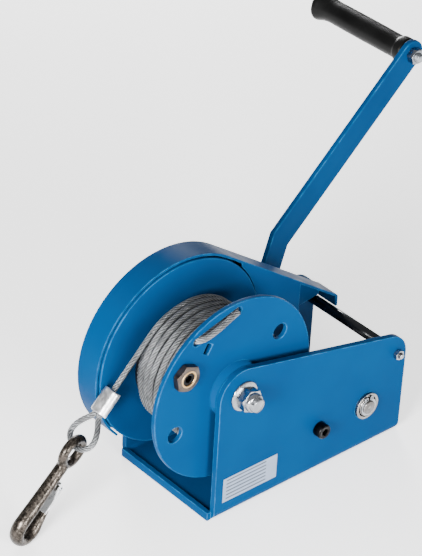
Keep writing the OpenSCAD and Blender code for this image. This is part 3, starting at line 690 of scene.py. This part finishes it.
# ---------------------------------------------------------------- ferrule
def make_ferrule():
    """A pressed sleeve with eight flats, three shallow crimps and uneven ends."""
    rows, around = 23, 80
    half_wide, half_high = 7.8, 4.8
    slant_wide, slant_high, slant_reach = 0.655, 0.756, 6.77
    points, faces = [], []
    for i in range(rows):
        t = i / (rows - 1)
        squeeze = 1 - 0.03 * (0.5 - 0.5 * math.cos(TAU * 3 * t))
        close = 1 - 0.06 * math.exp(-((min(t, 1 - t)) / 0.03) ** 2)
        inwards = 1 if i == 0 else -1 if i == rows - 1 else 0
        for k in range(around):
            a = TAU * k / around
            c, s = math.cos(a), math.sin(a)
            slant = (abs(c) * slant_wide + abs(s) * slant_high) / slant_reach
            flats = (abs(c) / half_wide, abs(s) / half_high, slant)
            r = sum(f ** 16 for f in flats) ** (-1 / 16)
            ragged = 0.5 * math.sin(3 * a + 1) + 0.35 * math.sin(7 * a)
            along = FERRULE_FROM + (FERRULE_TO - FERRULE_FROM) * t + (0.5 + ragged * 0.5) * inwards
            points.append(lead_point(along, r * c * close, r * s * close * squeeze))
    skin(faces, rows, around)
    sleeve = add_mesh("ferrule_sleeve", points, faces, sharp=50)
    return finish_piece(sleeve, "frame_body", "ferrule_alloy", "ferrule")


ferrule = make_ferrule()


# ---------------------------------------------------------------- hook and latch
# the middle of the hook's eye, this far past the rope's eye, and the hook's sizes in its own axes
HOOK_DX, HOOK_DZ = polar(4.6, 180 + HOOK_SLOPE)
HOOK_AT = lead_point(EYE_TIP, 0) + Vector((HOOK_DX, 0, HOOK_DZ))
EYE_R, EYE_HALF = 11.6, 3.9
SHANK_U = 12.5
BOWL_U, BOWL_V, BOWL_R = 68.2, 1.0, 12.5
TIP_U = 50.2
PIVOT_U, PIVOT_V = 30.0, 4.5


def hook_point(u, y, v):
    """From the hook's own axes: u from its eye to its bowl, v across towards its mouth."""
    cu, su = polar(1, 180 + HOOK_SLOPE)
    cr, sr = polar(1, HOOK_ROLL)
    y, v = y * cr - v * sr, y * sr + v * cr
    return Vector((HOOK_AT[0] + u * cu - v * su, HOOK_AT[1] + y, HOOK_AT[2] + u * su + v * cu))


def tube(points, faces, route, around=20):
    """Adds a tube in the hook's axes. The route's rows are (u, v, half width across, half width in Y)."""
    base = len(points)
    count = len(route)
    for i, (u, v, wide, deep) in enumerate(route):
        before, after = route[max(i - 1, 0)], route[min(i + 1, count - 1)]
        du, dv = after[0] - before[0], after[1] - before[1]
        size = math.hypot(du, dv)
        nu, nv = -dv / size, du / size
        for k in range(around):
            a = TAU * k / around
            across = wide * math.cos(a)
            points.append(hook_point(u + nu * across, deep * math.sin(a), v + nv * across))
    skin(faces, count, around, base)


def make_hook():
    """Eye, shank, bowl and tip as rough shapes, fused by a remesh and smoothed like a forging."""
    points, faces = [], []
    eye = [(*polar(EYE_R, a), EYE_HALF, EYE_HALF) for a in range(0, 360, 12)]
    tube(points, faces, eye + eye[:2])
    lean = math.degrees(math.atan2(BOWL_V, BOWL_U) - math.atan2(BOWL_R, math.hypot(BOWL_U, BOWL_V)))
    length = math.sqrt(BOWL_U ** 2 + BOWL_V ** 2 - BOWL_R ** 2)
    shank = []
    for i in range(11):
        t = i / 10
        u, v = polar(SHANK_U + (length - SHANK_U) * t, lean)
        shank.append((u, v, 5.2 - 1.0 * math.sin(math.pi * min(1, t * 1.1)) + 0.2 * t, 5.0 + 0.9 * t))
    bowl = []
    for i in range(1, 25):
        t = i / 24
        du, dv = polar(BOWL_R, lean - 90 + (180 - lean) * t)
        bowl.append((BOWL_U + du, BOWL_V + dv, 4.8 - 0.2 * t, 5.9 + 0.5 * math.sin(math.pi * t)))
    tip = [(BOWL_U - (BOWL_U - TIP_U) * t, BOWL_V + BOWL_R + 0.5 * t * t, 4.6 - 1.6 * t, 5.6 - 2.4 * t)
        for t in (0.25, 0.5, 0.75, 0.95)]
    tip.append((TIP_U - 0.3, BOWL_V + BOWL_R + 0.5, 1.4, 1.6))
    tube(points, faces, shank + bowl + tip)
    # a block that carries the latch's pivot
    lug = [(PIVOT_U + du, y, v) for du in (-4.2, 3.4) for y in (-4.2, 4.2) for v in (-4, PIVOT_V + 2.3)]
    base = len(points)
    points += [hook_point(*p) for p in lug]
    faces += [tuple(base + i for i in f) for f in ((0, 1, 3, 2), (4, 6, 7, 5), (0, 4, 5, 1), (2, 3, 7, 6),
        (0, 2, 6, 4), (1, 5, 7, 3))]
    obj = add_mesh("forged_hook", points, faces)
    fuse = obj.modifiers.new("fuse", "REMESH")
    fuse.mode = "VOXEL"
    fuse.voxel_size = 0.75 * MM
    fuse.use_smooth_shade = True
    soft = obj.modifiers.new("soften", "SMOOTH")
    soft.factor = 0.5
    soft.iterations = 6
    bake_modifiers(obj)
    return finish_piece(obj, "hook_body", "forged_steel", "hook")


def bake_modifiers(obj):
    """Replace an object's mesh by its modified one."""
    graph = bpy.context.evaluated_depsgraph_get()
    mesh = bpy.data.meshes.new_from_object(obj.evaluated_get(graph))
    obj.modifiers.clear()
    obj.data = mesh
    for face in mesh.polygons:
        face.use_smooth = True


hook = make_hook()


def make_latch():
    """A folded sheet latch: a tapered strip with a lip down each side, deepest at the pivot."""
    wide, narrow, sheet, ring = 6.7, 5.6, 1.0, 12
    points, faces = [], []
    outline = [(PIVOT_U - 3.6, -1.5), (PIVOT_U - 2.2, 3.2), (PIVOT_U + 3.0, 3.8), (PIVOT_U + 10, 3.8),
        (PIVOT_U + 18, 3.8), (TIP_U + 3.2, 3.8)]
    for u, up in outline:
        share = (u - outline[0][0]) / (outline[-1][0] - outline[0][0])
        half = wide + (narrow - wide) * share
        drop = max(1.8, 7.2 * (1 - min(1.0, max(0.0, (u - PIVOT_U - 3) / 10))))
        outside = [(-half, -drop), (-half, -0.9), (-half + 0.9, 0), (half - 0.9, 0), (half, -0.9),
            (half, -drop)]
        inside = [(half - sheet, -drop), (half - sheet, -1.3), (half - 1.3, -sheet), (-half + 1.3, -sheet),
            (-half + sheet, -1.3), (-half + sheet, -drop)]
        points += [hook_point(u, y, PIVOT_V + up + w) for y, w in outside + inside]
    skin(faces, len(outline), ring, capped=False)
    last = (len(outline) - 1) * ring
    for base in (0, last):
        for cell in ((0, 1, 10, 11), (1, 2, 9, 10), (2, 3, 8, 9), (3, 4, 7, 8), (4, 5, 6, 7)):
            faces.append(tuple(base + c for c in cell))
    obj = add_mesh("latch_plate", points, faces, sharp=50)
    return finish_piece(obj, "latch_body", "latch_steel", "hook_latch")


latch = make_latch()


def make_pawl_coil():
    """The pawl's torsion spring, wound round its pin, with one straight leg upwards."""
    turns, pitch, coil_r, wire_r, leg = 4.5, 1.35, 6.8, 0.65, Vector((0, 0, 14))
    start, steps, around = PLATE_Y + 1.2, 24, 8
    route = []
    for i in range(int(turns * steps) + 1):
        a = TAU * i / steps
        x, z = PAWL_PIN[0] + coil_r * math.cos(a), PAWL_PIN[2] + coil_r * math.sin(a)
        route.append((x, start + pitch * i / steps, z))
    end = Vector(route[-1])
    route += [end + leg * s for s in (0.2, 0.5, 1.0)]
    points, faces = [], []
    for point, side, up in sweep(route):
        for k in range(around):
            a = TAU * k / around
            points.append(point + (side * math.cos(a) + up * math.sin(a)) * wire_r)
    skin(faces, len(route), around)
    finish_piece(add_mesh("pawl_coil", points, faces), "frame_body", "black_oxide", "pawl_spring")


make_pawl_coil()


# ---------------------------------------------------------------- fasteners
def make_axle_nut():
    """Flange nut with a locking collar."""
    low, high = reach("axle_nut", 1, 0), reach("axle_nut", 1, 1)
    flange = ring_solid("axle_flange", AXLE, [(high, 6.2), (high, 12.8), (high - 0.9, 13), (high - 1.6, 12.7),
        (high - 2.9, 9.4), (high - 2.9, 6.2)], 72, 30)
    finish_piece(flange, "frame_body", "zinc", "axle_nut")
    body = hex_nut("axle_hex", AXLE, low + 4, high - 2.4, 18, 6.1, math.radians(12))
    finish_piece(body, "frame_body", "zinc")
    rows = [(low + 4.6, 6.1), (low + 4.6, 8.2), (low + 1.4, 8.0), (low + 0.4, 7.5), (low, 6.7),
        (low + 0.4, 6.1)]
    collar = ring_solid("axle_collar", AXLE, rows, 64, 40)
    finish_piece(collar, "frame_body", "zinc")


make_axle_nut()


def make_axle_end():
    """The axle bolt's threaded end, from just past the CAD bolt to inside the nut."""
    low, high = reach("axle_bolt", 1, 0), reach("axle_nut", 1, 0)
    end = threaded("axle_bolt_end", AXLE, low - 0.15, high + 0.6, 6.05, 1.75, -1)
    finish_piece(end, "frame_body", "zinc")


make_axle_end()


def make_cap_screws():
    """Black cap screws at both ends of the idler axle, with a knurled head and a hex socket."""
    head, knurls, knurl_depth = 8, 36, 0.16
    socket = hex_radius(6)

    def knurl(a):
        return 6.5 - knurl_depth * (0.5 + 0.5 * math.cos(knurls * a))

    for name, out in (("cap_screw_near", -1), ("cap_screw_far", 1)):
        face = out * PLATE_Y
        tip = face + out * head
        rows = [(face, 0), (face, 6.2), (face + out * 0.4, knurl), (tip - out * 1.1, knurl),
            (tip - out * 0.8, 6.3), (tip, 5.6), (tip, 3.6), (tip - out * 0.35, socket),
            (tip - out * 4, socket), (tip - out * 4.8, 0)]
        piece = turned(name, IDLER, rows, 144, 40)
        finish_piece(piece, "frame_body", "black_oxide", *(["idler_screws"] if out < 0 else []))


make_cap_screws()


def make_rod_nuts():
    """A nut at both ends of the tie rod, and the rod's threaded ends."""
    nut_t = 4
    for name, y0 in (("rod_nut_near", -PLATE_Y - nut_t), ("rod_nut_far", PLATE_Y)):
        nut = hex_nut(name, ROD, y0, y0 + nut_t, 8, 2.5, math.radians(8))
        finish_piece(nut, "frame_body", "zinc", *(["tie_rod_nuts"] if y0 < 0 else []))
    inner, outer = PLATE_Y + 3.5, PLATE_Y + 6.15
    for name, y0, y1, tip in (("rod_end_near", -outer, -inner, -1), ("rod_end_far", inner, outer, 1)):
        finish_piece(threaded(name, ROD, y0, y1, 2.6, 0.8, tip), "frame_body", "zinc")


make_rod_nuts()


def make_clamp():
    """Old hexagon nut on the near flange, with a socket screw and a bright ring inside."""
    at = centre("clamp_nut")
    low, high = reach("clamp_nut", 1, 0), reach("clamp_nut", 1, 1)
    nut = hex_nut("clamp_hex", at, low, high, 21, 6.1, turn=0.15)
    finish_piece(nut, "drum_body", "rusty_steel", "clamp_nut")
    socket = hex_radius(6)
    rows = [(high + 4, 0), (high + 4, 5.8), (low + 1.1, 6.0), (low + 0.5, 5.4), (low + 0.5, 3.7),
        (low + 0.8, socket), (low + 4.5, socket), (low + 5.2, 0)]
    finish_piece(turned("clamp_socket", at, rows, 72, 40), "drum_body", "black_oxide", "clamp_screw")
    ring = [(low + 0.5, 5.6), (low - 0.25, 5.9), (low - 0.25, 7.2), (low + 0.5, 7.6)]
    finish_piece(ring_solid("clamp_ring", at, ring, 64, 30), "drum_body", "bronze")


make_clamp()


def make_hub_nut():
    """The nut that holds the crank arm on its shaft."""
    low, high = reach("hub_nut", 1, 0), reach("hub_nut", 1, 1)
    finish_piece(hex_nut("hub_hex", SHAFT, low, high, 18, 6.1), "crank_body", "zinc", "hub_nut")


make_hub_nut()


def make_shaft_end():
    """The near end of the crank shaft: a chamfered face with a centre hole."""
    low = reach("crank_shaft", 1, 0)
    rows = [(low + 1, 0), (low + 1, 6.05), (low + 0.5, 6.05), (low - 0.15, 5.4), (low - 0.15, 1.5),
        (low + 0.9, 0.5), (low + 0.95, 0)]
    finish_piece(turned("shaft_end", SHAFT, rows, 64, 30), "crank_body", "gear_steel")


make_shaft_end()


# ---------------------------------------------------------------- grip and its bolt
def make_grip():
    """Moulded grip: a collar at the arm, a slim waist and a flared outer end."""
    low, high = reach("grip", 1, 0), reach("grip", 1, 1)
    bore, r = 6.05, 10.5
    rows = [(low + 0.6, bore), (low, bore + 0.5), (low, r + 0.4), (low + 0.7, r + 1.3), (low + 2, r + 1.5),
        (low + 7, r + 1.5), (low + 8.4, r + 1.1), (low + 9.4, r + 0.2), (low + 11, r)]
    for i in range(1, 24):
        t = i / 24
        y = low + 11 + (high - low - 27) * t
        rows.append((y, r + 0.25 * math.sin(math.pi * t)))
    rows += [(high - 14, r + 0.3), (high - 9, r + 1.3), (high - 5, r + 2.6), (high - 3, r + 3.3),
        (high - 1.6, r + 3.5), (high - 0.5, r + 3.0), (high, r + 1.8), (high, bore + 0.6), (high - 0.6, bore)]
    finish_piece(ring_solid("grip_body_piece", GRIP, rows, 72, 50), "grip_body", "grip_rubber", "grip")


make_grip()


def make_grip_bolt():
    """The nut on the arm's inner face, and the grip bolt's threaded end."""
    nut_low, nut_high = reach("grip_nut", 1, 0), reach("grip_nut", 1, 1)
    nut = hex_nut("grip_hex", GRIP, nut_low, nut_high, 13, 4.1, math.radians(18))
    finish_piece(nut, "crank_body", "zinc", "grip_nut")
    low = reach("grip_bolt", 1, 0)
    end = threaded("grip_bolt_end", GRIP, low - 0.15, nut_low + 1.5, 4.05, 1.25, -1)
    finish_piece(end, "crank_body", "zinc")


make_grip_bolt()


# ---------------------------------------------------------------- floor and light
def make_stage():
    """A white floor just under the part, bright enough to read as a plain background."""
    size, gap = 6.0, 0.0004
    corners = [(-size, -size, 0), (size, -size, 0), (size, size, 0), (-size, size, 0)]
    floor = bpy.data.meshes.new("floor")
    floor.from_pydata(corners, [], [(0, 1, 2, 3)])
    obj = bpy.data.objects.new("floor", floor)
    obj.location.z = cad_box[0].z - gap
    bpy.context.scene.collection.objects.link(obj)
    mat, _, bsdf = material("floor")
    bsdf.inputs["Base Color"].default_value = (0.97, 0.97, 0.97, 1)
    bsdf.inputs["Roughness"].default_value = 0.9
    bsdf.inputs["Emission Color"].default_value = (1, 1, 1, 1)
    bsdf.inputs["Emission Strength"].default_value = 0.9
    floor.materials.append(mat)


def area_light(name, place, target, size, power):
    """A round light that faces a target; metres and watts."""
    data = bpy.data.lights.new(name, "AREA")
    data.shape = "DISK"
    data.size = size
    data.energy = power
    obj = bpy.data.objects.new(name, data)
    obj.location = place
    obj.rotation_euler = (Vector(target) - Vector(place)).to_track_quat("-Z", "Y").to_euler()
    bpy.context.scene.collection.objects.link(obj)


def make_world():
    """Bright overhead, darker towards the horizon."""
    world = bpy.data.worlds.new("studio")
    world.use_nodes = True
    tree = world.node_tree
    coord = tree.nodes.new("ShaderNodeTexCoord")
    split = tree.nodes.new("ShaderNodeSeparateXYZ")
    tree.links.new(coord.outputs["Generated"], split.inputs[0])
    height = ranged(tree, split.outputs["Z"], 0, 1, 0.1, 0.8)
    sky = mixed(tree, height, (0.30, 0.31, 0.33), (1.0, 1.0, 1.0))
    tree.links.new(sky, tree.nodes["Background"].inputs["Color"])
    tree.nodes["Background"].inputs["Strength"].default_value = 0.5
    bpy.context.scene.world = world


def make_lights():
    """The sky and three lights: a strong one on the front, a weak one on the near side and one behind."""
    make_world()
    middle = (0, 0, 0.1)
    area_light("key", (-1.7, -0.7, 0.75), middle, 0.7, 120)
    area_light("front", (-0.25, -1.3, 0.4), (0, 0, 0.04), 0.5, 34)
    area_light("rim", (1.0, 1.5, 0.6), middle, 0.7, 45)


make_stage()
make_lights()
